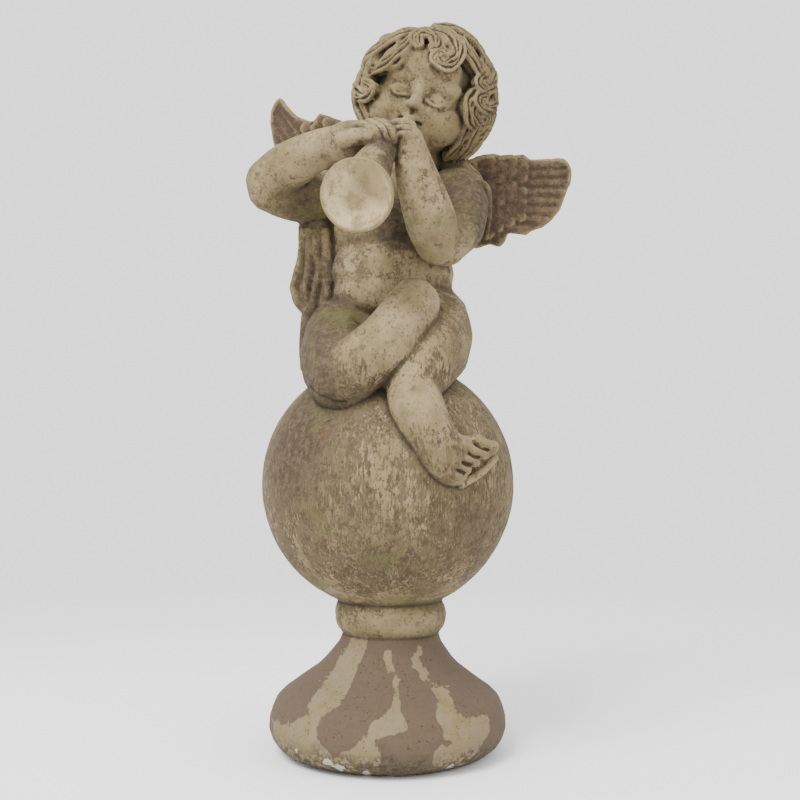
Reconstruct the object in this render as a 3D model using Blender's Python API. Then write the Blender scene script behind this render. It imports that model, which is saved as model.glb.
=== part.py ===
# Putto blowing a horn, seated on a ball that stands on a ring and a flared round foot. One cast piece.
import math

import bmesh
import bpy
import numpy as np
from mathutils import Matrix, Vector

for old in list(bpy.data.objects):
    bpy.data.objects.remove(old, do_unlink=True)

# Real sizes in metres.
UNIT = 0.0008
FOOT_CONTACT_RADIUS = 92 * UNIT
FOOT_RIM_RADIUS = 115.2 * UNIT
NECK_RADIUS = 47 * UNIT
NECK_HEIGHT = 112 * UNIT
RING_RADIUS = 54.8 * UNIT
RING_HEIGHT = 134 * UNIT
RING_DRIFT = 3 * UNIT
BALL_RADIUS = 124.4 * UNIT
BALL_HEIGHT = 258 * UNIT
TURNED_SIDES = 48
FIGURE_TRIANGLES = 6100
CLAY_GRAIN = 0.0016

# Places on the figure are given as seen from the front: column and row in view units, then depth.
# One view unit is UNIT metres on the axis. The eye looks up a little from EYE_AWAY units off.
VIEW_MIDDLE = 400
EYE_ACROSS = 12
EYE_UP = 271
EYE_AWAY = 1000
EYE_PITCH = math.atan(0.07)


def seen(column, row, depth):
    """The place of a point that shows at this column and row, so many units behind the axis."""
    across = (column - VIEW_MIDDLE) / EYE_AWAY
    up = (VIEW_MIDDLE - row) / EYE_AWAY
    ahead = math.cos(EYE_PITCH) - up * math.sin(EYE_PITCH)
    rise = up * math.cos(EYE_PITCH) + math.sin(EYE_PITCH)
    reach = (EYE_AWAY + depth) / ahead
    return Vector((EYE_ACROSS + across * reach, depth, EYE_UP + rise * reach)) * UNIT


def unit_ball(fineness):
    """Corners and faces of a ball of radius one."""
    work = bmesh.new()
    bmesh.ops.create_icosphere(work, subdivisions=fineness, radius=1)
    corners = np.array([v.co[:] for v in work.verts])
    faces = np.array([[v.index for v in f.verts] for f in work.faces])
    work.free()
    return corners, faces


def smooth_path(stops, steps):
    """Points and radii along a curve that runs through the stops, each a place and a radius."""
    knots = np.array([[*place, radius] for place, radius in stops])
    knots = np.vstack([2 * knots[0] - knots[1], knots, 2 * knots[-1] - knots[-2]])
    path = []
    for i in range(1, len(knots) - 2):
        a, b, c, d = knots[i - 1 : i + 3]
        for t in np.linspace(0, 1, steps, endpoint=False):
            path.append(
                0.5 * (2 * b + (c - a) * t + (2 * a - 5 * b + 4 * c - d) * t**2 + (3 * b - a - 3 * c + d) * t**3)
            )
    path.append(knots[-2])
    return path


class Clay:
    """Lumps and rolls that are pressed together into one closed form."""

    def __init__(self):
        self.corners = []
        self.faces = []
        self.count = 0
        self.ball = unit_ball(2)

    def add(self, corners, faces):
        self.corners.append(corners)
        self.faces.append(faces + self.count)
        self.count += len(corners)

    def lump(self, place, radii, turn=None):
        """One egg shape; radii in view units, turn a rotation matrix."""
        corners, faces = self.ball
        shaped = corners * (np.array(radii) * UNIT)
        if turn is not None:
            shaped = shaped @ np.array(turn.to_3x3()).T
        self.add(shaped + np.array(place), faces)

    def roll(self, stops, steps=8, flat=(1, 1, 1), turn=None):
        """A limb through the stops, each a place and a radius in view units."""
        for x, y, z, radius in smooth_path(stops, steps):
            self.lump((x, y, z), (radius * flat[0], radius * flat[1], radius * flat[2]), turn)

    def turned(self, profile, place, along, sides):
        """A closed form turned about an axis; profile gives radius and distance along it, in view units."""
        along = Vector(along).normalized()
        turn = along.to_track_quat("Z", "Y").to_matrix()
        corners = []
        for radius, distance in profile:
            for i in range(sides):
                angle = 2 * math.pi * i / sides
                spot = Vector((radius * math.cos(angle), radius * math.sin(angle), distance)) * UNIT
                corners.append(Vector(place) + turn @ spot)
        first, last = profile[0][1], profile[-1][1]
        corners.append(Vector(place) + turn @ Vector((0, 0, first * UNIT)))
        corners.append(Vector(place) + turn @ Vector((0, 0, last * UNIT)))
        faces = []
        rows = len(profile)
        for r in range(rows - 1):
            for i in range(sides):
                a, b = r * sides + i, r * sides + (i + 1) % sides
                faces += [(a, b, b + sides), (a, b + sides, a + sides)]
        for i in range(sides):
            j = (i + 1) % sides
            faces.append((rows * sides, j, i))
            faces.append((rows * sides + 1, (rows - 1) * sides + i, (rows - 1) * sides + j))
        self.add(np.array([c[:] for c in corners]), np.array(faces))

    def press(self, name):
        """The pressed-together object, before it is smoothed."""
        shape = bpy.data.meshes.new(name)
        shape.from_pydata(np.vstack(self.corners).tolist(), [], np.vstack(self.faces).tolist())
        made = bpy.data.objects.new(name, shape)
        bpy.context.scene.collection.objects.link(made)
        return made


def apply_modifiers(thing):
    """The object's mesh with its modifiers carried out."""
    bpy.context.view_layer.update()
    graph = bpy.context.evaluated_depsgraph_get()
    shape = bpy.data.meshes.new_from_object(thing.evaluated_get(graph))
    thing.modifiers.clear()
    thing.data = shape


def keep_largest(thing):
    """Leave out the small shells that pressing the clay can trap inside the form."""
    work = bmesh.new()
    work.from_mesh(thing.data)
    left = set(work.verts)
    shells = []
    while left:
        shell = {left.pop()}
        edge_of = list(shell)
        while edge_of:
            for edge in edge_of.pop().link_edges:
                for corner in edge.verts:
                    if corner in left:
                        left.discard(corner)
                        shell.add(corner)
                        edge_of.append(corner)
        shells.append(shell)
    shells.sort(key=len)
    for shell in shells[:-1]:
        bmesh.ops.delete(work, geom=list(shell), context="VERTS")
    work.to_mesh(thing.data)
    work.free()


# The head has its own frame: x to the viewer's right, y to the back, z to the crown.
HEAD_PLACE = seen(425, 99, -8)
HEAD_ROLL = math.radians(20)
HEAD_YAW = math.radians(-3)
HEAD_NOD = math.radians(20)
HEAD_TURN = (
    Matrix.Rotation(HEAD_ROLL, 4, "Y") @ Matrix.Rotation(HEAD_YAW, 4, "Z") @ Matrix.Rotation(HEAD_NOD, 4, "X")
)


def on_head(x, y, z):
    """A place given in the head's own frame, in view units."""
    return HEAD_PLACE + HEAD_TURN.to_3x3() @ (Vector((x, y, z)) * UNIT)


def round_head(turn, tilt, out):
    """A place on the skull: turn from the face to the viewer's right and tilt up, in degrees."""
    a, b = math.radians(turn), math.radians(tilt)
    return on_head(out * math.sin(a) * math.cos(b), -out * math.cos(a) * math.cos(b), out * math.sin(b))


def head(clay):
    """Skull, brow, full cheeks, small nose, closed lips and chin of a child."""
    clay.lump(on_head(0, 4, 6), (57, 58, 58), HEAD_TURN)
    clay.lump(on_head(0, -14, -14), (47, 42, 40), HEAD_TURN)
    for side in (-1, 1):
        clay.lump(on_head(24 * side, -36, -19), (19, 17, 18), HEAD_TURN)
        clay.lump(on_head(19 * side, -49, 4), (10, 6, 7), HEAD_TURN)
        clay.lump(on_head(19 * side, -48, 15), (15, 6, 5), HEAD_TURN)
        clay.lump(on_head(56 * side, 4, -6), (5, 9, 13), HEAD_TURN)
    clay.roll([(on_head(0, -51, 10), 4), (on_head(0, -58, -3), 5.5), (on_head(0, -61, -8), 7)], 4)
    clay.lump(on_head(-6, -56, -9), (4.5, 5, 4), HEAD_TURN)
    clay.lump(on_head(6, -56, -9), (4.5, 5, 4), HEAD_TURN)
    clay.lump(on_head(0, -50, -22), (12, 9, 4), HEAD_TURN)
    clay.lump(on_head(0, -49, -28), (10, 9, 4), HEAD_TURN)
    clay.lump(on_head(0, -38, -41), (15, 13, 11), HEAD_TURN)


# Each curl: turn and tilt of its middle on the head, its size, and which way it winds.
CURLS = [
    (8, 52, 19, 1),
    (-32, 46, 17, -1),
    (-58, 22, 15, -1),
    (-72, -6, 13, 1),
    (40, 40, 17, 1),
    (64, 20, 16, -1),
    (72, -8, 16, 1),
    (76, -34, 15, -1),
    (-20, 74, 17, 1),
    (36, 72, 17, -1),
    (110, 48, 18, 1),
    (106, 14, 18, -1),
    (108, -20, 17, 1),
    (-104, 48, 18, -1),
    (-102, 14, 18, 1),
    (-106, -20, 16, -1),
    (146, 44, 18, -1),
    (143, 8, 18, 1),
    (146, -26, 17, -1),
    (180, 62, 18, 1),
    (180, 26, 18, -1),
    (180, -10, 18, 1),
    (-143, 44, 18, 1),
    (-144, 8, 18, -1),
    (-146, -26, 17, 1),
]


def hair(clay):
    """A cap of hair and the curls on it, each a coil that ends in a raised middle."""
    clay.lump(on_head(0, 12, 8), (65, 60, 61), HEAD_TURN)
    clay.roll([(on_head(58, 6, -30), 16), (on_head(42, 14, -58), 15), (on_head(22, 22, -70), 15)], 6)
    for turn, tilt, size, wind in CURLS:
        coil = []
        for i in range(9):
            angle = wind * i * math.radians(58) + math.radians(turn)
            reach = size * (1 - i / 10)
            across = reach * math.cos(angle) / 62
            upward = reach * math.sin(angle) / 62
            spot = round_head(
                turn + math.degrees(across) / max(0.35, math.cos(math.radians(tilt))),
                tilt + math.degrees(upward),
                62 + 4 * abs(math.sin(math.radians(turn))) + i * 0.9,
            )
            coil.append((spot, 7.2 - 0.15 * i))
        clay.roll(coil, 3)


def torso(clay):
    """Chest, round belly, hips and seat."""
    clay.lump(seen(388, 208, 8), (58, 36, 46))
    clay.lump(seen(384, 232, -4), (54, 40, 46))
    clay.lump(seen(388, 252, 0), (57, 44, 48))
    clay.lump(seen(390, 276, -4), (61, 46, 46))
    clay.lump(seen(420, 276, 2), (36, 34, 34))
    clay.lump(seen(366, 284, -14), (40, 40, 40))
    clay.lump(seen(388, 322, 12), (60, 48, 46))
    clay.lump(seen(358, 346, 34), (42, 38, 36))
    clay.lump(seen(426, 344, 34), (44, 38, 36))
    clay.lump(seen(356, 214, -18), (26, 16, 18))
    clay.lump(seen(412, 214, -18), (26, 16, 18))
    clay.lump(seen(456, 198, 4), (36, 32, 32))
    clay.lump(seen(334, 198, 6), (34, 30, 30))
    clay.roll([(seen(398, 190, 14), 34), (seen(412, 150, 8), 32), (seen(418, 120, 4), 30)], 6)
    clay.lump(seen(366, 176, 8), (30, 22, 28))


LIMBS = [
    [(330, 198, 4, 29), (296, 196, -8, 27), (270, 190, -22, 23)],
    [(268, 181, -26, 23), (286, 168, -42, 24), (312, 153, -66, 20.5), (338, 141, -84, 15.5)],
    [(334, 145, -84, 15.5), (350, 138, -93, 17), (366, 136, -99, 13)],
    [(340, 150, -86, 10), (354, 152, -90, 8)],
    [(460, 202, -4, 30), (458, 224, -32, 28), (446, 243, -56, 23)],
    [(437, 243, -66, 21.5), (430, 218, -80, 25), (417, 178, -96, 20.5), (411, 152, -102, 16)],
    [(411, 150, -102, 15), (407, 138, -105, 14), (400, 132, -104, 10)],
    [(348, 336, 4, 45), (342, 358, -44, 42), (342, 378, -78, 33)],
    [(342, 379, -84, 31), (364, 361, -92, 29.5), (390, 336, -92, 27), (414, 304, -76, 25.5)],
    [(423, 326, 8, 49), (427, 342, -28, 46), (420, 362, -66, 37), (412, 383, -86, 27)],
    [(411, 386, -88, 25), (418, 410, -104, 26), (434, 440, -110, 22.5), (445, 460, -112, 20), (453, 470, -112, 15)],
    [(446, 450, -110, 19), (460, 450, -108, 15), (474, 444, -98, 11)],
    [(450, 462, -112, 17), (460, 464, -112, 13), (468, 464, -108, 10)],
]


def limbs(clay):
    """Arms raised to the horn, one leg crossed over, the other hanging down the ball."""
    for stops in LIMBS:
        clay.roll([(seen(a, b, c), r) for a, b, c, r in stops], 8)


# Fingers and toes: each stop is column, row, depth and radius.
RIGHT_FINGERS = [
    [(362, 125, -108, 4.6), (374, 130, -120, 4.7), (380, 139, -122, 4.4), (384, 148, -116, 3.9)],
    [(369, 123, -106, 4.6), (381, 128.5, -118, 4.6), (386.5, 138, -121, 4.3), (388.5, 146.5, -114, 3.8)],
    [(376, 122, -102, 4.5), (388, 127.5, -115, 4.5), (392.5, 136.5, -118, 4.2), (392.5, 144.5, -111, 3.6)],
    [(382, 122.5, -98, 4.3), (393, 128, -110, 4.3), (397, 136, -113, 4.0), (396.5, 143, -106, 3.5)],
]
LEFT_FINGERS = [
    [(412, 125, -106, 4.2), (404, 122, -112, 4.1), (396, 122.5, -110, 3.8), (390, 127, -100, 3.4)],
    [(413, 131, -110, 4.2), (405, 127.5, -116, 4.1), (397, 128, -113, 3.8), (391, 132, -102, 3.4)],
    [(413, 137, -112, 4.2), (406, 133.5, -118, 4.1), (400, 134, -114, 3.8), (394, 138, -104, 3.4)],
]
THUMB = [(344, 139, -104, 8.5), (358, 136.5, -113, 8.2), (370, 137.5, -120, 6.8), (378, 140, -122, 4.4)]
TOES = [
    [(450, 471, -122, 5.5), (457, 474, -124, 4.6), (462, 476.5, -120, 4.2)],
    [(453, 464, -120, 6), (461, 467, -122, 5.1), (467, 469.5, -118, 5)],
    [(461, 456, -116, 6.2), (469, 459.5, -118, 5.4), (475.5, 462, -114, 5.2)],
    [(469, 449, -110, 6.2), (477, 452, -112, 5.4), (484, 454.5, -108, 5.2)],
    [(477, 441, -102, 7), (486, 444.5, -104, 6.2), (493, 447.5, -101, 6.2)],
]


def row_paths(rows):
    """The stops of each row as places with radii."""
    return [[(seen(a, b, c), r) for a, b, c, r in row] for row in rows]


def hands_and_toes(clay):
    """Fingers and a thumb round the horn, and the five toes."""
    for path in row_paths(RIGHT_FINGERS + LEFT_FINGERS + [THUMB] + TOES):
        clay.roll(path, 4)
    clay.roll([(seen(432, 306, -62), 8), (seen(434, 328, -66), 8), (seen(424, 352, -78), 7)], 6)
    clay.roll([(seen(464, 482, -110), 5), (seen(480, 470, -108), 5), (seen(494, 456, -98), 5)], 4, (1, 1, 0.7))


HORN_MOUTH = on_head(0, -55, -25)
HORN_BELL = seen(357, 195, -158)
BELL_FACING = Vector((-0.16, -0.93, -0.22)).normalized()
HORN_TUBE = [(396, 133, -92, 8.5), (386, 144, -104, 11), (378, 158, -116, 15.5), (370, 172, -126, 20)]


def horn(clay, sides):
    """A horn that widens from the lips to its open bell, a shallow dish with a rolled rim."""
    back = HORN_BELL - BELL_FACING * 27 * UNIT
    clay.roll([(HORN_MOUTH, 7)] + row_paths([HORN_TUBE])[0] + [(back, 21)], 10)
    profile = [(16, -34), (21, -26), (25, -17), (28.5, -9), (31, -4), (32.2, -1), (32.4, 1), (31.4, 2.4)]
    profile += [(29.6, 2.4), (27.6, 1), (22, -1.8), (14, -4.0), (7, -5.0), (2, -5.2)]
    clay.turned(profile, HORN_BELL, BELL_FACING, sides)


# Folds of cloth: each stop is column, row, depth and radius.
FOLDS = [
    [(318, 228, 6, 15), (318, 262, 4, 15), (317, 292, 2, 16), (318, 324, 2, 15)],
    [(307, 228, 2, 9), (307, 256, 0, 10), (302, 284, -2, 12), (303, 300, -3, 10), (310, 314, -4, 5)],
    [(303, 230, -6, 3.2), (301, 252, -9, 3.4), (299, 270, -11, 4.2), (294, 288, -11, 4.6), (301, 306, -10, 4)],
    [(309, 230, -7, 3.2), (309, 252, -10, 3.6), (308, 276, -13, 4), (305, 292, -14, 4.4), (308, 310, -11, 4)],
    [(314, 232, -9, 3), (316, 252, -12, 3.4), (319, 268, -14, 3.6), (316, 286, -15, 3.6), (310, 318, -13, 3.4)],
    [(324, 232, -8, 4.4), (324, 258, -12, 5), (324, 288, -14, 5), (320, 318, -15, 4.6), (314, 346, -14, 3.6)],
    [(318, 230, 14, 15), (318, 270, 12, 17), (320, 310, 10, 17), (324, 348, 14, 15)],
    [(340, 236, 24, 19), (338, 280, 24, 20), (342, 320, 34, 20), (348, 352, 46, 18)],
    [(320, 232, 26, 6), (317, 270, 27, 7), (320, 310, 28, 7), (326, 354, 34, 7)],
    [(332, 232, 38, 6.5), (330, 274, 41, 7.5), (333, 316, 49, 7.5), (340, 360, 62, 7)],
    [(346, 234, 44, 6), (344, 280, 45, 7), (348, 320, 55, 7), (354, 364, 69, 6)],
]
SLEEVE = [(450, 188, -26, 3), (468, 181, -24, 3.4), (486, 186, -14, 3.6), (489, 208, -6, 3.6), (486, 238, -2, 3)]


def cloth(clay):
    """Carved cloth that falls in soft folds from the armpit to the seat, and over the back."""
    for path in row_paths(FOLDS + [SLEEVE]):
        clay.roll(path, 8)


# Each wing's outline as seen from the front: column, row and depth.
RIGHT_WING = [
    (440, 178, 33), (460, 162, 34), (482, 155.5, 35), (493, 153.5, 36), (504, 156, 37), (524, 154.5, 38),
    (531, 160.5, 39), (543, 160.5, 41), (557, 158, 43), (564, 158.5, 44), (569.5, 165, 45), (571.5, 177, 45),
    (568.5, 187, 45), (565, 197, 44), (560, 210, 43), (551, 221, 42), (543, 227.5, 41), (531, 231.5, 40),
    (526.5, 235.5, 39), (519, 234.5, 39), (508, 233, 38), (505, 242, 38), (499, 247, 37), (490, 244.5, 37),
    (476, 249, 36), (455, 238, 34), (440, 215, 33),
]
LEFT_WING = [
    (280, 97.5, 63), (286, 105, 60), (297, 116, 56), (308, 121.5, 52), (314, 121, 50), (319, 113, 48),
    (329.5, 116, 45), (341, 121.5, 42), (356, 134, 38), (364, 160, 34), (358, 200, 34), (338, 215, 40),
    (314, 208, 46), (294, 190, 53), (281, 166, 60), (273, 142, 64), (270, 122, 65), (272.5, 109, 64),
]
WING_THICK = 9.5
# Long feathers: column, row and depth of the root and of the tip, and half width.
LONG_FEATHERS = [
    [(522, 165, 38.5), (564, 163.5, 44), 5],
    [(520, 173.5, 38.5), (567, 172.5, 45), 5],
    [(520, 182.5, 38.5), (566, 182, 45), 5],
    [(519, 191.5, 38.5), (562, 191.5, 44), 5],
    [(519, 200.5, 38.5), (559, 200.5, 43.5), 5],
    [(517, 209.5, 38), (554, 210, 42.5), 5],
    [(515, 218, 38), (545, 219, 41), 5],
    [(508, 226, 38), (531, 227, 40), 4.6],
    [(494, 232, 37), (500, 243, 37.5), 5],
    [(484, 232, 36.5), (490, 241, 37), 5],
    [(330, 176, 43), (279, 106, 63), 5],
    [(326, 184, 44), (276, 118, 64), 5],
    [(322, 192, 46), (276, 131, 63.5), 5],
    [(318, 198, 47), (279, 146, 61.5), 5],
    [(316, 204, 48), (284, 162, 58.5), 5],
    [(340, 170, 41), (299, 121, 54.5), 5],
    [(348, 166, 38.5), (320, 119, 48), 5],
    [(356, 168, 36), (336, 124, 43.5), 5],
]
# Scale feathers in rows over the feathers' roots: column, row and depth of the first, the step, how many.
SCALE_ROWS = [
    [(522, 166, 38.2), (-0.6, 12.2, 0), 5],
    [(511, 160, 37.2), (-0.4, 12.2, 0), 6],
    [(500, 166, 36.4), (-0.6, 12.2, 0), 6],
    [(489, 160, 35.6), (-0.2, 12.2, 0), 7],
    [(306, 130, 52), (4.5, 13, -2.2), 5],
    [(317, 126, 48.6), (4.5, 13, -2), 5],
    [(328, 124, 45), (4, 13, -1.8), 5],
]


def plate(clay, outline, thick):
    """A thin plate with this outline, a little thicker in its middle."""
    count = len(outline)
    middle = [sum(stop[i] for stop in outline) / count for i in range(3)]
    corners = []
    for face_way in (-1, 1):
        corners += [seen(a, b, c + face_way * thick * 0.4) for a, b, c in outline]
        corners.append(seen(middle[0], middle[1], middle[2] + face_way * thick * 0.6))
    faces = []
    far = count + 1
    for i in range(count):
        j = (i + 1) % count
        faces += [(i, j, count), (far + j, far + i, far + count), (j, i, far + i), (j, far + i, far + j)]
    clay.add(np.array([c[:] for c in corners]), np.array(faces))


def wings(clay):
    """Two thin wings with long feathers and rows of scale feathers in low relief on both faces."""
    plate(clay, RIGHT_WING, WING_THICK)
    plate(clay, LEFT_WING, WING_THICK)
    clay.roll([(seen(436, 214, 34), 15), (seen(466, 198, 34), 17), (seen(488, 194, 36), 10)], 6, (1, 0.6, 1.3))
    clay.roll([(seen(372, 206, 32), 17), (seen(350, 188, 36), 16), (seen(330, 166, 44), 9)], 6, (1, 0.6, 1.2))
    for face_way in (-1, 1):
        for root, tip, half in LONG_FEATHERS:
            a = seen(root[0], root[1], root[2] + face_way * WING_THICK * 0.46)
            b = seen(tip[0], tip[1], tip[2] + face_way * WING_THICK * 0.34)
            clay.roll([(a, half), (a.lerp(b, 0.6), half), (b, half * 0.8)], 12, (1, 0.42, 1))
        for first, step, count in SCALE_ROWS:
            for n in range(count):
                column, row, depth = (first[k] + step[k] * n for k in range(3))
                inward = -1 if column > 400 else 1
                lift = face_way * (WING_THICK * 0.5 + 0.6)
                root = seen(column + 9 * inward, row, depth + lift)
                tip = seen(column, row, depth + lift + face_way * 0.8)
                clay.roll([(root, 6.2), (tip, 6.2)], 6, (1, 0.34, 1))
    for face_way in (-1, 1):
        rim = [(531, 163, 39), (545, 163, 41), (557, 161, 43), (565, 163, 44), (569, 172, 45), (568, 184, 45)]
        clay.roll([(seen(a, b, c + face_way * 3), 3) for a, b, c in rim], 8)
        rim = [(310, 124, 51), (297, 119, 56), (286, 108, 60), (280, 101, 63), (274, 110, 64), (273, 122, 65)]
        clay.roll([(seen(a, b, c + face_way * 3), 3) for a, b, c in rim], 8)


def turned_base():
    """Foot, ring and ball turned as one profile: radius and height in view units, from the floor up."""
    contact = FOOT_CONTACT_RADIUS / UNIT
    rim = FOOT_RIM_RADIUS / UNIT
    neck = NECK_RADIUS / UNIT
    neck_up = NECK_HEIGHT / UNIT
    ring = RING_RADIUS / UNIT
    ring_up = RING_HEIGHT / UNIT
    ball = BALL_RADIUS / UNIT
    ball_up = BALL_HEIGHT / UNIT
    profile = [(contact, 0), (contact + 8, 3), (rim - 7, 9), (rim - 3, 15), (rim, 24), (rim - 0.5, 33)]
    profile += [(rim - 3, 42), (rim - 7, 51), (rim - 14, 58), (rim - 23, 64), (rim - 34, 72), (rim - 45, 80)]
    profile += [(neck + 16, 87), (neck + 9, 96), (neck + 3, 104), (neck, neck_up)]
    for degrees in range(-62, 71, 22):
        angle = math.radians(degrees)
        profile.append((neck + 1 + (ring - neck - 1) * math.cos(angle), ring_up - 4 + 14.5 * math.sin(angle)))
    for i in range(19):
        angle = math.pi * (0.857 * i / 19 - 0.357)
        profile.append((ball * math.cos(angle), ball_up + ball * math.sin(angle)))
    work = bmesh.new()
    sides = []
    for radius, height in profile:
        ringlet = []
        drift = RING_DRIFT * math.exp(-(((height - ring_up + 12) / 32) ** 2))
        for i in range(TURNED_SIDES):
            angle = 2 * math.pi * i / TURNED_SIDES
            x = drift + radius * UNIT * math.cos(angle)
            y = radius * UNIT * math.sin(angle)
            ringlet.append(work.verts.new((x, y, height * UNIT)))
        sides.append(ringlet)
    for low, high in zip(sides, sides[1:]):
        for i in range(TURNED_SIDES):
            j = (i + 1) % TURNED_SIDES
            work.faces.new((low[i], low[j], high[j], high[i]))
    work.faces.new(sides[0][::-1])
    crown = work.verts.new((0, 0, (ball_up + ball) * UNIT))
    for i in range(TURNED_SIDES):
        work.faces.new((sides[-1][i], sides[-1][(i + 1) % TURNED_SIDES], crown))
    shape = bpy.data.meshes.new("putto_figurine")
    work.to_mesh(shape)
    work.free()
    made = bpy.data.objects.new("putto_figurine", shape)
    bpy.context.scene.collection.objects.link(made)
    return made


def pressed(thing, rounds):
    """Press the clay into one skin and smooth it so many times."""
    remesh = thing.modifiers.new("press", "REMESH")
    remesh.mode = "VOXEL"
    remesh.voxel_size = CLAY_GRAIN
    smooth = thing.modifiers.new("smooth", "SMOOTH")
    smooth.factor = 0.5
    smooth.iterations = rounds
    apply_modifiers(thing)


masses = Clay()
torso(masses)
limbs(masses)
body = masses.press("body_clay")
pressed(body, 12)

clay = Clay()
for make in (head, hair, hands_and_toes, cloth, wings):
    make(clay)
horn(clay, 28)
body.data.calc_loop_triangles()
clay.add(
    np.array([v.co[:] for v in body.data.vertices]),
    np.array([t.vertices[:] for t in body.data.loop_triangles]),
)
bpy.data.objects.remove(body, do_unlink=True)
figure = clay.press("figure_clay")
pressed(figure, 3)
keep_largest(figure)
figure.data.calc_loop_triangles()
fewer = figure.modifiers.new("fewer", "DECIMATE")
fewer.ratio = FIGURE_TRIANGLES / len(figure.data.loop_triangles)
apply_modifiers(figure)

putto = turned_base()
union = putto.modifiers.new("union", "BOOLEAN")
union.operation = "UNION"
union.object = figure
union.solver = "EXACT"
apply_modifiers(putto)
keep_largest(putto)
bpy.data.objects.remove(figure, do_unlink=True)

stone = bpy.data.materials.new("cast_stone")
stone.use_nodes = True
stone.node_tree.nodes["Principled BSDF"].inputs["Base Color"].default_value = (0.36, 0.31, 0.22, 1)
stone.node_tree.nodes["Principled BSDF"].inputs["Roughness"].default_value = 0.9
putto.data.materials.clear()
putto.data.materials.append(stone)
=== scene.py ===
import math

import bmesh
import bpy
import numpy as np
from mathutils import Matrix, Vector, kdtree, noise


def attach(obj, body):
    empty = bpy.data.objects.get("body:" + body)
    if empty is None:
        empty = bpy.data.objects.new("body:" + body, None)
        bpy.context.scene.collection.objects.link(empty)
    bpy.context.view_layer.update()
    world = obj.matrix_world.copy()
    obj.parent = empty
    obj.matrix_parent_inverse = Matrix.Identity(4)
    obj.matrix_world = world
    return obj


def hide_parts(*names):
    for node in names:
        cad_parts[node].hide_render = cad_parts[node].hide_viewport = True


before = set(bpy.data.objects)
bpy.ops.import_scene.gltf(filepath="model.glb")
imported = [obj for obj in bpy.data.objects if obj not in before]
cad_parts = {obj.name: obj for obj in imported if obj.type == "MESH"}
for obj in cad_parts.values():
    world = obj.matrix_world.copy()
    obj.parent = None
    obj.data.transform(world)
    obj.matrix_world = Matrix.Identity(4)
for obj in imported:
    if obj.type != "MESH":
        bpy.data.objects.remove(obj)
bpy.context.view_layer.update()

# Real sizes in metres. The figure is measured in view units of this size.
UNIT = 0.0008
FOOT_CONTACT_RADIUS = 92 * UNIT
FOOT_RIM_RADIUS = 115.2 * UNIT
NECK_RADIUS = 47 * UNIT
NECK_HEIGHT = 112 * UNIT
RING_RADIUS = 54.8 * UNIT
RING_HEIGHT = 134 * UNIT
RING_DRIFT = 3 * UNIT
BALL_RADIUS = 124.4 * UNIT
BALL_HEIGHT = 258 * UNIT
MASS_GRAIN = 0.0016
FINE_GRAIN = 0.00112
HOLLOW_FULL = 0.0004
DEEP_FULL = 0.0022
MOST_TRIANGLES = 196000
TURNED_SIDES = 160
HORN_SIDES = 72

# Places on the figure are given as seen from the front: column and row in view units, then depth.
# The eye looks up a little from EYE_AWAY units in front of the axis.
VIEW_MIDDLE = 400
EYE_ACROSS = 12
EYE_UP = 271
EYE_AWAY = 1000
EYE_PITCH = math.atan(0.07)
PICTURE_WIDTH = 800
SENSOR_WIDTH = 36


def seen(column, row, depth):
    """The place of a point that shows at this column and row, so many units behind the axis."""
    across = (column - VIEW_MIDDLE) / EYE_AWAY
    up = (VIEW_MIDDLE - row) / EYE_AWAY
    ahead = math.cos(EYE_PITCH) - up * math.sin(EYE_PITCH)
    rise = up * math.cos(EYE_PITCH) + math.sin(EYE_PITCH)
    reach = (EYE_AWAY + depth) / ahead
    return Vector((EYE_ACROSS + across * reach, depth, EYE_UP + rise * reach)) * UNIT


def unit_ball(fineness):
    """Corners and faces of a ball of radius one."""
    work = bmesh.new()
    bmesh.ops.create_icosphere(work, subdivisions=fineness, radius=1)
    corners = np.array([v.co[:] for v in work.verts])
    faces = np.array([[v.index for v in f.verts] for f in work.faces])
    work.free()
    return corners, faces


def smooth_path(stops, steps):
    """Points and radii along a curve that runs through the stops, each a place and a radius."""
    knots = np.array([[*place, radius] for place, radius in stops])
    knots = np.vstack([2 * knots[0] - knots[1], knots, 2 * knots[-1] - knots[-2]])
    path = []
    for i in range(1, len(knots) - 2):
        a, b, c, d = knots[i - 1 : i + 3]
        for t in np.linspace(0, 1, steps, endpoint=False):
            bent = (2 * a - 5 * b + 4 * c - d) * t**2 + (3 * b - a - 3 * c + d) * t**3
            path.append(0.5 * (2 * b + (c - a) * t + bent))
    path.append(knots[-2])
    return path


def curve(places, steps=12):
    """Points along a smooth curve through the places."""
    return [Vector(p[:3]) for p in smooth_path([(place, 0) for place in places], steps)]


def turned_faces(rows, sides):
    """Triangles of a closed turned form: its rows of corners, then the middle of each end."""
    faces = []
    for r in range(rows - 1):
        for i in range(sides):
            a, b = r * sides + i, r * sides + (i + 1) % sides
            faces += [(a, b, b + sides), (a, b + sides, a + sides)]
    for i in range(sides):
        j = (i + 1) % sides
        faces.append((rows * sides, j, i))
        faces.append((rows * sides + 1, (rows - 1) * sides + i, (rows - 1) * sides + j))
    return np.array(faces)


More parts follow.
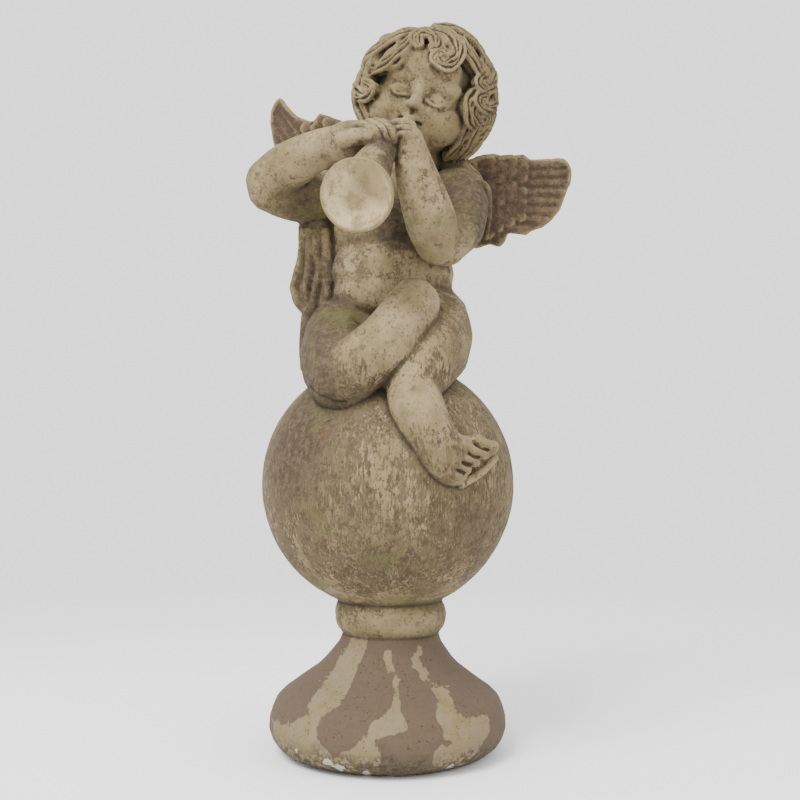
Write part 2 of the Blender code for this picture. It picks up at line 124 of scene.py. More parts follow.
class Clay:
    """Lumps and rolls that are pressed together into one closed form."""

    def __init__(self):
        self.corners = []
        self.faces = []
        self.count = 0
        self.ball = unit_ball(2)

    def add(self, corners, faces):
        self.corners.append(corners)
        self.faces.append(faces + self.count)
        self.count += len(corners)

    def lump(self, place, radii, turn=None):
        """One egg shape; radii in view units, turn a rotation matrix."""
        corners, faces = self.ball
        shaped = corners * (np.array(radii) * UNIT)
        if turn is not None:
            shaped = shaped @ np.array(turn.to_3x3()).T
        self.add(shaped + np.array(place), faces)

    def roll(self, stops, steps=8, flat=(1, 1, 1), turn=None):
        """A limb through the stops, each a place and a radius in view units."""
        for x, y, z, radius in smooth_path(stops, steps):
            self.lump((x, y, z), (radius * flat[0], radius * flat[1], radius * flat[2]), turn)

    def turned(self, profile, place, along, sides):
        """A closed form turned about an axis; profile gives radius and distance along it, in view units."""
        along = Vector(along).normalized()
        turn = along.to_track_quat("Z", "Y").to_matrix()
        corners = []
        for radius, distance in profile:
            for i in range(sides):
                angle = 2 * math.pi * i / sides
                spot = Vector((radius * math.cos(angle), radius * math.sin(angle), distance)) * UNIT
                corners.append(Vector(place) + turn @ spot)
        first, last = profile[0][1], profile[-1][1]
        corners.append(Vector(place) + turn @ Vector((0, 0, first * UNIT)))
        corners.append(Vector(place) + turn @ Vector((0, 0, last * UNIT)))
        self.add(np.array([c[:] for c in corners]), turned_faces(len(profile), sides))

    def press(self, name):
        """The pressed-together object, before it is smoothed."""
        shape = bpy.data.meshes.new(name)
        shape.from_pydata(np.vstack(self.corners).tolist(), [], np.vstack(self.faces).tolist())
        made = bpy.data.objects.new(name, shape)
        bpy.context.scene.collection.objects.link(made)
        return made


def apply_modifiers(thing):
    """The object's mesh with its modifiers carried out."""
    bpy.context.view_layer.update()
    graph = bpy.context.evaluated_depsgraph_get()
    shape = bpy.data.meshes.new_from_object(thing.evaluated_get(graph))
    thing.modifiers.clear()
    thing.data = shape


def keep_largest(thing):
    """Leave out the small shells that pressing the clay can trap inside the form."""
    work = bmesh.new()
    work.from_mesh(thing.data)
    left = set(work.verts)
    shells = []
    while left:
        shell = {left.pop()}
        edge_of = list(shell)
        while edge_of:
            for edge in edge_of.pop().link_edges:
                for corner in edge.verts:
                    if corner in left:
                        left.discard(corner)
                        shell.add(corner)
                        edge_of.append(corner)
        shells.append(shell)
    shells.sort(key=len)
    for shell in shells[:-1]:
        bmesh.ops.delete(work, geom=list(shell), context="VERTS")
    work.to_mesh(thing.data)
    work.free()


# The head has its own frame: x to the viewer's right, y to the back, z to the crown.
HEAD_PLACE = seen(425, 99, -8)
HEAD_ROLL = math.radians(20)
HEAD_YAW = math.radians(-3)
HEAD_NOD = math.radians(20)
HEAD_TURN = (
    Matrix.Rotation(HEAD_ROLL, 4, "Y") @ Matrix.Rotation(HEAD_YAW, 4, "Z") @ Matrix.Rotation(HEAD_NOD, 4, "X")
)


def on_head(x, y, z):
    """A place given in the head's own frame, in view units."""
    return HEAD_PLACE + HEAD_TURN.to_3x3() @ (Vector((x, y, z)) * UNIT)


def round_head(turn, tilt, out):
    """A place on the skull: turn from the face to the viewer's right and tilt up, in degrees."""
    a, b = math.radians(turn), math.radians(tilt)
    return on_head(out * math.sin(a) * math.cos(b), -out * math.cos(a) * math.cos(b), out * math.sin(b))


# Large forms of the head: place in the head's frame and radii. The second table's are on both sides.
HEAD_LUMPS = [
    ((0, 4, 6), (57, 58, 58)), ((0, -13, -15), (49, 43, 42)), ((0, -36, 27), (36, 19, 24)),
    ((0, -36, -24), (22, 18, 15)), ((0, -33, -43), (18, 15, 12)),
]
HEAD_PAIRS = [((24, -25, -18), (26, 25, 25)), ((20, -39, 15), (20, 12, 11)), ((45, 0, -14), (15, 25, 32))]


def head_masses(clay):
    """The large forms of the head: skull, cheeks, brow and chin."""
    for place, radii in HEAD_LUMPS:
        clay.lump(on_head(*place), radii, HEAD_TURN)
    for (x, y, z), radii in HEAD_PAIRS:
        for side in (-1, 1):
            clay.lump(on_head(x * side, y, z), radii, HEAD_TURN)


def face(clay):
    """A calm child's face on plain proportions: closed lids, small nose, full lips and ears."""
    for side in (-1, 1):
        clay.lump(on_head(20 * side, -42.5, 1.5), (12.5, 8.5, 8), HEAD_TURN)
        lid = [(10, -49.5, -1, 1.2), (16, -51.8, -3.6, 1.6), (22, -50.8, -3.8, 1.6), (29, -46.5, -0.5, 1.2)]
        clay.roll([(on_head(x * side, y, z), half) for x, y, z, half in lid], 5)
        clay.lump(on_head(4.6 * side, -53, -8.5), (4.4, 5, 4), HEAD_TURN)
        clay.lump(on_head(56 * side, 4, -6), (5, 9, 13), HEAD_TURN)
    clay.roll([(on_head(0, -47, 14), 6), (on_head(0, -50, 3), 5.6), (on_head(0, -55, -6.5), 6.4)], 6)
    for side in (-1, 1):
        corner = on_head(10 * side, -49.5, -22.5)
        clay.roll([(corner, 2.2), (on_head(4 * side, -54, -20), 3.3), (on_head(0, -54.6, -21), 3.2)], 5)
    clay.roll([(on_head(-8, -49, -26), 2.4), (on_head(0, -53.4, -28), 4.2), (on_head(8, -49, -26), 2.4)], 5)


# Locks seen from the front: each stop is column, row, how far out on the head and half width.
FRONT_LOCKS = [
    [(418, 31, 68, 6), (402, 33, 70, 8), (384, 43, 71, 9), (368, 56, 71, 8), (356, 72, 70, 6)],
    [(414, 35, 67, 5), (402, 47, 68, 8), (390, 58, 68, 8), (377, 68, 66, 6), (366, 74, 65, 4)],
    [(413, 37, 64, 4), (407, 48, 65, 6), (399, 59, 65, 6), (388, 68, 64, 4)],
    [(360, 68, 70, 6), (351, 78, 71, 7), (352, 92, 71, 7), (364, 96, 71, 6), (372, 87, 70, 5),
     (363, 82, 71, 3)],
    [(349, 84, 74, 5), (351, 98, 74, 6), (356, 110, 73, 6), (362, 122, 72, 4)],
    [(361, 92, 68, 4), (363, 104, 68, 5), (368, 117, 67, 4)],
    [(420, 46, 70, 4), (416, 38, 70, 6), (424, 32, 71, 7), (435, 37, 72, 6), (437, 46, 73, 5),
     (430, 48, 73, 3)],
    [(430, 30, 70, 6), (444, 32, 72, 8), (456, 43, 74, 8), (457, 57, 74, 7), (446, 65, 73, 6),
     (436, 59, 73, 5), (440, 51, 74, 4), (447, 53, 74, 3)],
    [(436, 26, 69, 6), (452, 27, 70, 8), (468, 36, 70, 8), (481, 48, 69, 7), (492, 62, 68, 5)],
    [(460, 38, 69, 6), (468, 52, 70, 7), (478, 66, 70, 7), (482, 78, 69, 5)],
    [(484, 52, 68, 5), (495, 64, 69, 7), (498, 78, 70, 7), (488, 88, 71, 6), (479, 81, 71, 5),
     (485, 74, 71, 3)],
    [(497, 80, 68, 5), (502, 93, 69, 7), (497, 107, 70, 7), (484, 107, 71, 6), (479, 97, 71, 5),
     (487, 94, 71, 3)],
    [(474, 92, 66, 5), (470, 104, 67, 7), (472, 119, 68, 7), (481, 128, 69, 6), (489, 118, 69, 5),
     (483, 112, 69, 3)],
    [(496, 104, 70, 5), (495, 120, 71, 7), (488, 135, 71, 7), (479, 148, 71, 6), (468, 158, 71, 5)],
    [(480, 124, 69, 5), (474, 136, 70, 6), (467, 148, 71, 6), (456, 160, 72, 5)],
    [(468, 122, 64, 4), (465, 135, 66, 5), (457, 148, 69, 5), (446, 159, 70, 4)],
    [(488, 136, 70, 5), (480, 149, 72, 6), (468, 161, 73, 6), (454, 168, 73, 4)],
]
# Locks on the sides and back: turn and tilt of the middle on the head, size, which way it winds.
BACK_LOCKS = [
    (98, 42, 17, 1), (96, 8, 17, -1), (100, -24, 16, 1), (128, 60, 16, -1), (130, 26, 18, 1),
    (131, -8, 18, -1), (136, -38, 15, 1), (162, 44, 18, -1), (164, 8, 18, 1), (168, -26, 17, -1),
    (-162, 46, 18, 1), (-163, 8, 18, -1), (-160, -26, 17, 1), (-130, 60, 16, 1), (-130, 26, 18, -1),
    (-131, -8, 18, 1), (-132, -38, 15, -1), (-98, 44, 17, 1), (-96, 10, 17, -1), (-98, -22, 15, 1),
    (180, 74, 17, 1), (60, 74, 16, -1), (-50, 76, 16, 1),
]
HAIR_MIDDLE = on_head(0, 6, 4)


def on_hair(column, row, out):
    """Where a ball round the head, so far out, shows at this column and row."""
    eye = Vector((EYE_ACROSS, -EYE_AWAY, EYE_UP)) * UNIT
    aim = (seen(column, row, 0) - eye).normalized()
    along = (HAIR_MIDDLE - eye).dot(aim)
    nearest = eye + aim * along
    miss = (nearest - HAIR_MIDDLE).length
    if miss >= out * UNIT:
        return HAIR_MIDDLE + (nearest - HAIR_MIDDLE) * (out * UNIT / miss)
    return nearest - aim * math.sqrt((out * UNIT) ** 2 - miss**2)


def lock(clay, stops):
    """A lock of hair along places with half widths, in strands side by side. Gives back its partings."""
    path = smooth_path(stops, 5)
    spots = [Vector(p[:3]) for p in path]
    widths = [p[3] for p in path]
    core = [(s + (HAIR_MIDDLE - s).normalized() * w * UNIT, w * 0.85) for s, w in zip(spots, widths)]
    clay.roll(core, 1)
    widest = max(widths)
    count = max(2, round(1.7 * widest / 4.4) + 1)
    partings = []
    for half_step in range(2 * count - 1):
        share = half_step / (count - 1) - 1
        way = []
        for i, (spot, width) in enumerate(zip(spots, widths)):
            ahead = spots[min(i + 1, len(spots) - 1)] - spots[max(i - 1, 0)]
            out = (spot - HAIR_MIDDLE).normalized()
            side = ahead.cross(out).normalized()
            lift = 1.4 * (1 - share * share) + 0.5 * math.sin(half_step * 1.7)
            wave = 0.8 * math.sin(i * 0.9 + half_step * 0.9)
            if half_step % 2:
                lift += 1.6
            place = spot + (side * (share * width * 0.85 + wave) + out * lift) * UNIT
            way.append((place, 1.2 + 1.5 * width / widest))
        if half_step % 2:
            partings.append((curve([place for place, _ in way], 4), 1.1, 2.2))
        else:
            clay.roll(way, 3)
    return partings


def hair(clay):
    """A cap under wavy locks: those over the face, then curls round the sides and the back."""
    clay.lump(on_head(0, 12, 8), (63, 58, 59), HEAD_TURN)
    for side in (-1, 1):
        under = [(48, -22, 38, 11), (54, -20, 12, 11), (52, -15, -14, 11), (44, -8, -38, 11)]
        clay.roll([(on_head(x * side, y, z), half) for x, y, z, half in under], 4)
    partings = []
    for row in FRONT_LOCKS:
        partings += lock(clay, [(on_hair(a, b, out), half) for a, b, out, half in row])
    for turn, tilt, size, wind in BACK_LOCKS:
        level = max(0.35, math.cos(math.radians(tilt)))
        start = 90 - 60 * wind + 25 * math.sin(turn + tilt)
        stops = []
        for i in range(8):
            share = i / 7
            reach = size * (1.05 - 0.78 * share)
            angle = math.radians(start - wind * share * 430)
            across, up = reach * math.cos(angle), reach * math.sin(angle)
            across = math.degrees(across / 62) / level
            spot = round_head(turn + across, tilt + math.degrees(up / 62), 64 + 5 * share)
            stops.append((spot, 6.5 - 3 * share))
        partings += lock(clay, stops)
    return partings


# Egg shapes of the trunk: column, row, depth and radii.
TRUNK = [
    (388, 208, 8, (58, 36, 46)), (384, 230, -8, (53, 41, 46)), (388, 252, 0, (57, 44, 48)),
    (390, 276, -4, (61, 46, 46)), (420, 276, 2, (36, 34, 34)), (380, 272, -12, (50, 41, 44)),
    (374, 292, -16, (42, 36, 34)), (388, 322, 12, (60, 48, 46)), (358, 346, 34, (42, 38, 36)),
    (426, 344, 34, (44, 38, 36)), (356, 214, -18, (26, 16, 18)), (412, 214, -18, (26, 16, 18)),
    (456, 198, 4, (36, 32, 32)), (334, 198, 6, (34, 30, 30)), (366, 176, 8, (30, 22, 28)),
]
# The neck and the slope down to the left shoulder: each stop is column, row, depth and radius.
NECK = [
    [(398, 190, 14, 34), (412, 150, 8, 32), (418, 120, 4, 30)],
    [(438, 152, 18, 18), (448, 168, 20, 20), (464, 186, 18, 22)],
]


def torso(clay):
    """Chest, round belly, hips, seat and neck."""
    for column, row, depth, radii in TRUNK:
        clay.lump(seen(column, row, depth), radii)
    for path in row_paths(NECK):
        clay.roll(path, 6)


# Arms and legs: each stop is column, row, depth and radius.
LIMBS = [
    [(330, 198, 4, 29), (296, 196, -8, 27), (270, 190, -22, 23)],
    [(268, 181, -26, 23), (286, 168, -42, 24), (312, 153, -66, 20.5), (338, 141, -84, 15.5)],
    [(334, 145, -84, 15.5), (350, 138, -93, 17), (366, 136, -99, 13)],
    [(340, 150, -86, 10), (354, 152, -90, 8)],
    [(460, 202, -4, 30), (458, 224, -32, 28), (446, 243, -56, 23)],
    [(437, 243, -66, 21.5), (430, 218, -80, 25), (417, 178, -96, 20.5), (411, 152, -102, 16)],
    [(411, 150, -102, 15), (407, 138, -105, 14), (400, 132, -104, 10)],
    [(348, 336, 4, 45), (342, 358, -44, 42), (342, 378, -78, 33)],
    [(342, 379, -84, 31), (364, 361, -92, 29.5), (390, 336, -92, 27), (414, 304, -76, 25.5)],
    [(423, 326, 8, 49), (427, 342, -28, 46), (420, 362, -66, 37), (412, 383, -86, 27)],
    [(411, 386, -88, 25), (418, 410, -104, 26), (434, 440, -110, 22.5), (445, 460, -112, 20),
     (453, 470, -112, 15)],
    [(446, 450, -110, 19), (459, 450, -108, 14), (470, 445, -98, 9)],
    [(450, 462, -112, 17), (457, 463, -111, 12), (462, 465, -108, 8)],
]


def limbs(clay):
    """Arms raised to the horn, one leg crossed over, the other hanging down the ball."""
    for path in row_paths(LIMBS):
        clay.roll(path, 8)


# Fingers and toes: each stop is column, row, depth and radius.
RIGHT_FINGERS = [
    [(362, 125, -108, 4.6), (374, 130, -120, 4.7), (380, 139, -122, 4.4), (384, 148, -116, 3.9)],
    [(369, 123, -106, 4.6), (381, 128.5, -118, 4.6), (386.5, 138, -121, 4.3), (388.5, 146.5, -114, 3.8)],
    [(376, 122, -102, 4.5), (388, 127.5, -115, 4.5), (392.5, 136.5, -118, 4.2), (392.5, 144.5, -111, 3.6)],
    [(382, 122.5, -98, 4.3), (393, 128, -110, 4.3), (397, 136, -113, 4.0), (396.5, 143, -106, 3.5)],
]
LEFT_FINGERS = [
    [(412, 125, -106, 4.2), (404, 122, -112, 4.1), (396, 122.5, -110, 3.8), (390, 127, -100, 3.4)],
    [(413, 131, -110, 4.2), (405, 127.5, -116, 4.1), (397, 128, -113, 3.8), (391, 132, -102, 3.4)],
    [(413, 137, -112, 4.2), (406, 133.5, -118, 4.1), (400, 134, -114, 3.8), (394, 138, -104, 3.4)],
]
# Soft folds under the raised knee, and the thin ledge under the toes.
KNEE_FOLDS = [
    [(431, 304, -62, 8), (434, 328, -66, 8), (424, 352, -78, 7)],
    [(436, 312, -56, 5), (438, 334, -58, 5), (430, 356, -68, 5)],
]
LEDGE = [(462, 484, -106, 4), (480, 473, -102, 4), (495, 458, -92, 4)]
THUMB = [(344, 139, -104, 8.5), (358, 136.5, -113, 8.2), (370, 137.5, -120, 6.8), (378, 140, -122, 4.4)]
TOES = [
    [(450, 471, -122, 5.5), (456, 474, -124, 4.2), (461, 476.5, -121, 4.2)],
    [(452, 464, -120, 6), (460, 467, -123, 4.4), (467, 469.5, -119, 4.8)],
    [(460, 456, -116, 6.2), (468, 459.5, -119, 4.5), (475.5, 462, -115, 4.9)],
    [(468, 449, -110, 6.2), (476, 452, -113, 4.5), (484, 454.5, -109, 4.8)],
    [(476, 441, -102, 7), (485, 444.5, -105, 5.4), (493, 447, -102, 6)],
]


def row_paths(rows):
    """The stops of each row as places with radii."""
    return [[(seen(a, b, c), r) for a, b, c, r in row] for row in rows]


def between(paths):
    """Groove paths that run between neighbouring fingers or toes."""
    lines = []
    for first, second in zip(paths, paths[1:]):
        forward = Vector((0, -3 * UNIT, 0))
        lines.append(curve([a.lerp(b, 0.5) + forward for (a, _), (b, _) in zip(first, second)]))
    return lines


def hands_and_toes(clay):
    """Fingers and a thumb round the horn, the five toes, the folds of the knee and the ledge."""
    for path in row_paths(RIGHT_FINGERS + LEFT_FINGERS + [THUMB] + TOES + KNEE_FOLDS + [LEDGE]):
        clay.roll(path, 8)


HORN_MOUTH = on_head(0, -55, -25)
HORN_BELL = seen(357, 195, -158)
BELL_FACING = Vector((-0.16, -0.93, -0.22)).normalized()
HORN_TUBE = [(396, 133, -92, 8.5), (386, 144, -104, 11), (378, 158, -116, 15.5), (370, 172, -126, 20)]


def horn(clay):
    """A horn that widens from the lips to its open bell, a shallow dish with a rolled rim."""
    back = HORN_BELL - BELL_FACING * 27 * UNIT
    clay.roll([(HORN_MOUTH, 7)] + row_paths([HORN_TUBE])[0] + [(back, 21)], 10)
    profile = [(16, -34), (21, -26), (25, -17), (28.5, -9), (31, -4), (32.2, -1), (32.4, 1), (31.4, 2.4)]
    profile += [(29.6, 2.4), (27.6, 1), (22, -1.8), (14, -4.0), (7, -5.0), (2, -5.2)]
    clay.turned(profile, HORN_BELL, BELL_FACING, HORN_SIDES)


# Folds of cloth: each stop is column, row, depth and radius.
FOLDS = [
    [(320, 228, 6, 17), (321, 262, 4, 18), (320, 292, 2, 18), (320, 324, 2, 16)],
    [(307, 228, 2, 9), (307, 256, 0, 10), (302, 284, -2, 12), (303, 300, -3, 10), (310, 314, -4, 5)],
    [(303, 230, -6, 3.2), (301, 252, -9, 3.4), (299, 270, -11, 4.2), (294, 288, -11, 4.6),
     (301, 306, -10, 4)],
    [(309, 230, -7, 3.2), (309, 252, -10, 3.6), (308, 276, -13, 4), (305, 292, -14, 4.4),
     (308, 310, -11, 4)],
    [(314, 232, -9, 3), (316, 252, -12, 3.4), (319, 268, -14, 3.6), (316, 286, -15, 3.6),
     (310, 318, -13, 3.4)],
    [(326, 232, -8, 5.4), (327, 258, -12, 6), (327, 288, -14, 6), (322, 318, -15, 5),
     (315, 346, -14, 3.6)],
    [(334, 226, 0, 9), (336, 258, -4, 10), (336, 290, -6, 10), (330, 312, -6, 9)],
    [(308, 306, -12, 6), (306, 326, -12, 6), (304, 348, -12, 5.5), (305, 368, -14, 5)],
    [(318, 230, 14, 15), (318, 270, 12, 17), (320, 310, 10, 17), (324, 348, 14, 15)],
    [(340, 236, 24, 19), (338, 280, 24, 20), (342, 320, 34, 20), (348, 352, 46, 18)],
    [(322, 216, 22, 5), (318, 258, 25, 7), (320, 306, 27, 8), (326, 354, 34, 7)],
    [(332, 212, 30, 5), (330, 262, 38, 7), (334, 312, 46, 8.5), (342, 362, 61, 7)],
    [(346, 210, 36, 4), (345, 262, 42, 6.5), (350, 314, 51, 8), (357, 366, 68, 6)],
    [(358, 214, 40, 3), (360, 270, 44, 5), (364, 322, 54, 6), (366, 366, 70, 5)],
    [(326, 214, 28, 4), (324, 280, 32, 4.5), (327, 340, 42, 5)],
    [(340, 214, 36, 3.5), (338, 280, 43, 4.5), (343, 340, 58, 5)],
]
SLEEVE = [
    (450, 188, -26, 3), (468, 181, -24, 3.4), (486, 186, -14, 3.6), (489, 208, -6, 3.6), (486, 238, -2, 3),
]


def cloth(clay):
    """Carved cloth that falls in soft folds from the armpit to the seat, and over the back."""
    for path in row_paths(FOLDS + [SLEEVE]):
        clay.roll(path, 24)


# Each wing's outline as seen from the front: column, row and depth.
RIGHT_WING = [
    (440, 178, 33), (460, 162, 34), (482, 155.5, 35), (493, 153.5, 36), (504, 156, 37), (524, 154.5, 38),
    (531, 160.5, 39), (543, 160.5, 41), (557, 158, 43), (564, 158.5, 44), (569.5, 165, 45),
    (571.5, 177, 45), (568.5, 187, 45), (565, 197, 44), (560, 210, 43), (551, 221, 42), (543, 227.5, 41),
    (531, 231.5, 40), (526.5, 235.5, 39), (519, 234.5, 39), (508, 233, 38), (505, 242, 38),
    (499, 247, 37), (490, 244.5, 37), (476, 249, 36), (455, 238, 34), (440, 215, 33),
]
LEFT_WING = [
    (280, 97.5, 63), (286, 105, 60), (297, 116, 56), (308, 121.5, 52), (314, 121, 50), (319, 113, 48),
    (329.5, 116, 45), (341, 121.5, 42), (356, 134, 38), (364, 160, 34), (358, 200, 34), (338, 215, 40),
    (314, 208, 46), (294, 190, 53), (281, 166, 60), (273, 142, 64), (270, 122, 65), (272.5, 109, 64),
]
# The thick root of each wing: each stop is column, row, depth and radius.
WING_ROOTS = [
    [(436, 214, 34, 15), (466, 198, 34, 17), (488, 194, 36, 10)],
    [(372, 206, 32, 17), (350, 188, 36, 16), (330, 166, 44, 9)],
]
# The rolled rim at each wing's tip.
WING_RIMS = [
    [(531, 163, 39), (545, 163, 41), (557, 161, 43), (565, 163, 44), (569, 172, 45), (568, 184, 45)],
    [(310, 124, 51), (297, 119, 56), (286, 108, 60), (280, 101, 63), (274, 110, 64), (273, 122, 65)],
]
WING_THICK = 9.5
# Long feathers: column, row and depth of the root and of the tip, and half width.
LONG_FEATHERS = [
    [(522, 165, 38.5), (564, 163.5, 44), 6], [(520, 173.5, 38.5), (567, 172.5, 45), 6],
    [(520, 182.5, 38.5), (566, 182, 45), 6], [(519, 191.5, 38.5), (562, 191.5, 44), 6],
    [(519, 200.5, 38.5), (559, 200.5, 43.5), 6], [(517, 209.5, 38), (554, 210, 42.5), 6],
    [(515, 218, 38), (545, 219, 41), 5.6], [(508, 226, 38), (531, 227, 40), 4.6],
    [(494, 232, 37), (500, 243, 37.5), 5], [(484, 232, 36.5), (490, 241, 37), 5],
    [(330, 176, 43), (279, 106, 63), 5], [(326, 184, 44), (276, 118, 64), 5],
    [(322, 192, 46), (276, 131, 63.5), 5], [(318, 198, 47), (279, 146, 61.5), 5],
    [(316, 204, 48), (284, 162, 58.5), 5], [(340, 170, 41), (299, 121, 54.5), 5],
    [(348, 166, 38.5), (320, 119, 48), 5], [(356, 168, 36), (336, 124, 43.5), 6],
]
# Scale feathers in rows over the feathers' roots: column, row and depth of the first, the step, how many.
SCALE_ROWS = [
    [(522, 166, 38.2), (-0.6, 12.2, 0), 5],
    [(511, 160, 37.2), (-0.4, 12.2, 0), 6],
    [(500, 166, 36.4), (-0.6, 12.2, 0), 6],
    [(489, 160, 35.6), (-0.2, 12.2, 0), 7],
    [(306, 130, 52), (4.5, 13, -2.2), 5],
    [(317, 126, 48.6), (4.5, 13, -2), 5],
    [(328, 124, 45), (4, 13, -1.8), 5],
]


def plate(clay, outline, thick):
    """A thin plate with this outline, a little thicker in its middle."""
    count = len(outline)
    middle = [sum(stop[i] for stop in outline) / count for i in range(3)]
    corners = []
    for face_way in (-1, 1):
        corners += [seen(a, b, c + face_way * thick * 0.4) for a, b, c in outline]
        corners.append(seen(middle[0], middle[1], middle[2] + face_way * thick * 0.6))
    faces = []
    far = count + 1
    for i in range(count):
        j = (i + 1) % count
        faces += [(i, j, count), (far + j, far + i, far + count), (j, i, far + i), (j, far + i, far + j)]
    clay.add(np.array([c[:] for c in corners]), np.array(faces))


def wings(clay):
    """Two thin wings with long feathers and rows of scale feathers in low relief on both faces."""
    plate(clay, RIGHT_WING, WING_THICK)
    plate(clay, LEFT_WING, WING_THICK)
    for path, tall in zip(row_paths(WING_ROOTS), (1.3, 1.2)):
        clay.roll(path, 6, (1, 0.6, tall))
    for face_way in (-1, 1):
        for root, tip, half in LONG_FEATHERS:
            a = seen(root[0], root[1], root[2] + face_way * WING_THICK * 0.46)
            b = seen(tip[0], tip[1], tip[2] + face_way * WING_THICK * 0.34)
            clay.roll([(a, half), (a.lerp(b, 0.6), half), (b, half * 0.75)], 12, (1, 0.34, 1))
        for first, step, count in SCALE_ROWS:
            for n in range(count):
                column, row, depth = (first[k] + step[k] * n for k in range(3))
                inward = -1 if column > VIEW_MIDDLE else 1
                lift = face_way * (WING_THICK * 0.5 - 0.6)
                root = seen(column + 11 * inward, row, depth + lift)
                tip = seen(column, row + 1.5 * math.sin(3 * n + row), depth + lift + face_way * 1.7)
                clay.roll([(root, 5.5), (tip, 7.4)], 9, (1, 0.15, 1))
    for face_way in (-1, 1):
        for rim in WING_RIMS:
            clay.roll([(seen(a, b, c + face_way * 3), 3) for a, b, c in rim], 8)


def base_profile():
    """Foot, ring and ball as radius and height in view units, from the floor up."""
    sizes = (FOOT_CONTACT_RADIUS, FOOT_RIM_RADIUS, NECK_RADIUS, NECK_HEIGHT)
    contact, rim, neck, neck_up = (size / UNIT for size in sizes)
    sizes = (RING_RADIUS, RING_HEIGHT, BALL_RADIUS, BALL_HEIGHT)
    ring, ring_up, ball, ball_up = (size / UNIT for size in sizes)
    profile = [(contact, 0), (contact + 8, 3), (rim - 7, 9), (rim - 3, 15), (rim, 24), (rim - 0.5, 33)]
    profile += [(rim - 3, 42), (rim - 7, 51), (rim - 14, 58), (rim - 23, 64), (rim - 34, 72), (rim - 45, 80)]
    profile += [(neck + 16, 87), (neck + 9, 96), (neck + 3, 104), (neck, neck_up)]
    for degrees in range(-62, 71, 12):
        angle = math.radians(degrees)
        profile.append((neck + 1 + (ring - neck - 1) * math.cos(angle), ring_up - 4 + 14.5 * math.sin(angle)))
    for i in range(60):
        angle = math.pi * (0.857 * i / 60 - 0.357)
        profile.append((ball * math.cos(angle), ball_up + ball * math.sin(angle)))
    return profile, ring_up


def turned_base(clay):
    """The turned foot, ring and ball, with the ring a little off the axis as it was cast."""
    profile, ring_up = base_profile()
    sides = TURNED_SIDES
    corners = []
    for radius, height in profile:
        drift = RING_DRIFT / UNIT * math.exp(-(((height - ring_up + 12) / 32) ** 2))
        for i in range(sides):
            angle = 2 * math.pi * i / sides
            corners.append((drift + radius * math.cos(angle), radius * math.sin(angle), height))
    corners.append((0, 0, 0))
    corners.append((0, 0, (BALL_HEIGHT + BALL_RADIUS) / UNIT))
    clay.add(np.array(corners) * UNIT, turned_faces(len(profile), sides))


def pressed(thing, grain, rounds):
    """Press the clay into one skin and smooth it so many times."""
    remesh = thing.modifiers.new("press", "REMESH")
    remesh.mode = "VOXEL"
    remesh.voxel_size = grain
    smooth = thing.modifiers.new("smooth", "SMOOTH")
    smooth.factor = 0.5
    smooth.iterations = rounds
    apply_modifiers(thing)


def read(items, name, width, kind=float):
    """Numbers of a mesh's corners, edges or triangles as an array, so many to a row."""
    flat = np.empty(len(items) * width, dtype=kind)
    items.foreach_get(name, flat)
    return flat.reshape(-1, width)


def corners_of(thing):
    return read(thing.data.vertices, "co", 3)


def normals_of(thing):
    return read(thing.data.vertex_normals, "vector", 3)


def edges_of(thing):
    return read(thing.data.edges, "vertices", 2, np.int64)


def triangles_of(thing):
    thing.data.calc_loop_triangles()
    return read(thing.data.loop_triangles, "vertices", 3, np.int64)


def put_corners(thing, places):
    """Give the object's corners new places."""
    thing.data.vertices.foreach_set("co", places.reshape(-1))
    thing.data.update()


def line(*stops):
    """A groove's path through places seen from the front."""
    return curve([seen(*s) for s in stops])


def head_line(*stops):
    """A groove's path given in the head's frame."""
    return curve([on_head(*s) for s in stops])


BETWEEN_LIPS = head_line((-11, -51, -24), (-5, -56, -23.6), (0, -57, -24.6), (5, -56, -23.6), (11, -51, -24))
FOOT_GROOVE = line((334, 725, -100), (350, 730, -106), (374, 733, -112), (404, 733, -112), (438, 731, -104))
# Grooves: path, half width and depth in view units.
GROOVES = [
    (line((368, 228, -60), (380, 235, -52), (398, 238, -48), (412, 232, -50)), 3.0, 2.6),
    (BETWEEN_LIPS, 1.5, 1.8),
    (head_line((0, -56, -13.5), (0, -55, -17)), 2.0, 1.0),
    (line((312, 388, -88), (322, 396, -99), (333, 402, -102), (346, 404, -102)), 2.0, 2.8),
    (line((330, 318, -46), (346, 323, -56), (366, 321, -62)), 3.0, 2.6),
    (line((440, 300, -56), (441, 326, -64), (430, 356, -80)), 2.2, 2.4),
    (line((326, 150, -84), (333, 143, -98), (338, 134, -98)), 2.2, 1.6),
    (line((426, 152, -118), (414, 156, -122), (402, 152, -116)), 2.2, 1.6),
    (line((436, 444, -134), (448, 438, -132), (462, 436, -122)), 2.4, 1.4),
    (FOOT_GROOVE, 3.0, 0.9),
    (line((398, 694, -108), (420, 697, -104), (440, 694, -98)), 2.4, 0.6),
]
for way in (-1, 1):
    brow = head_line((30 * way, -46, 2), (22 * way, -52, 9), (13 * way, -51, 9), (9 * way, -49, 3))
    lid = head_line((29 * way, -47, -2.5), (21 * way, -52.5, -6.4), (11 * way, -51, -3.6))
    nostril = head_line((9 * way, -49, -9), (8.5 * way, -50, -5), (6 * way, -51, -3))
    GROOVES += [(brow, 2.0, 0.9), (lid, 1.3, 1.0), (nostril, 1.4, 0.9)]
for path in between(row_paths(RIGHT_FINGERS)) + between(row_paths(LEFT_FINGERS)):
    GROOVES.append((path, 1.2, 1.5))
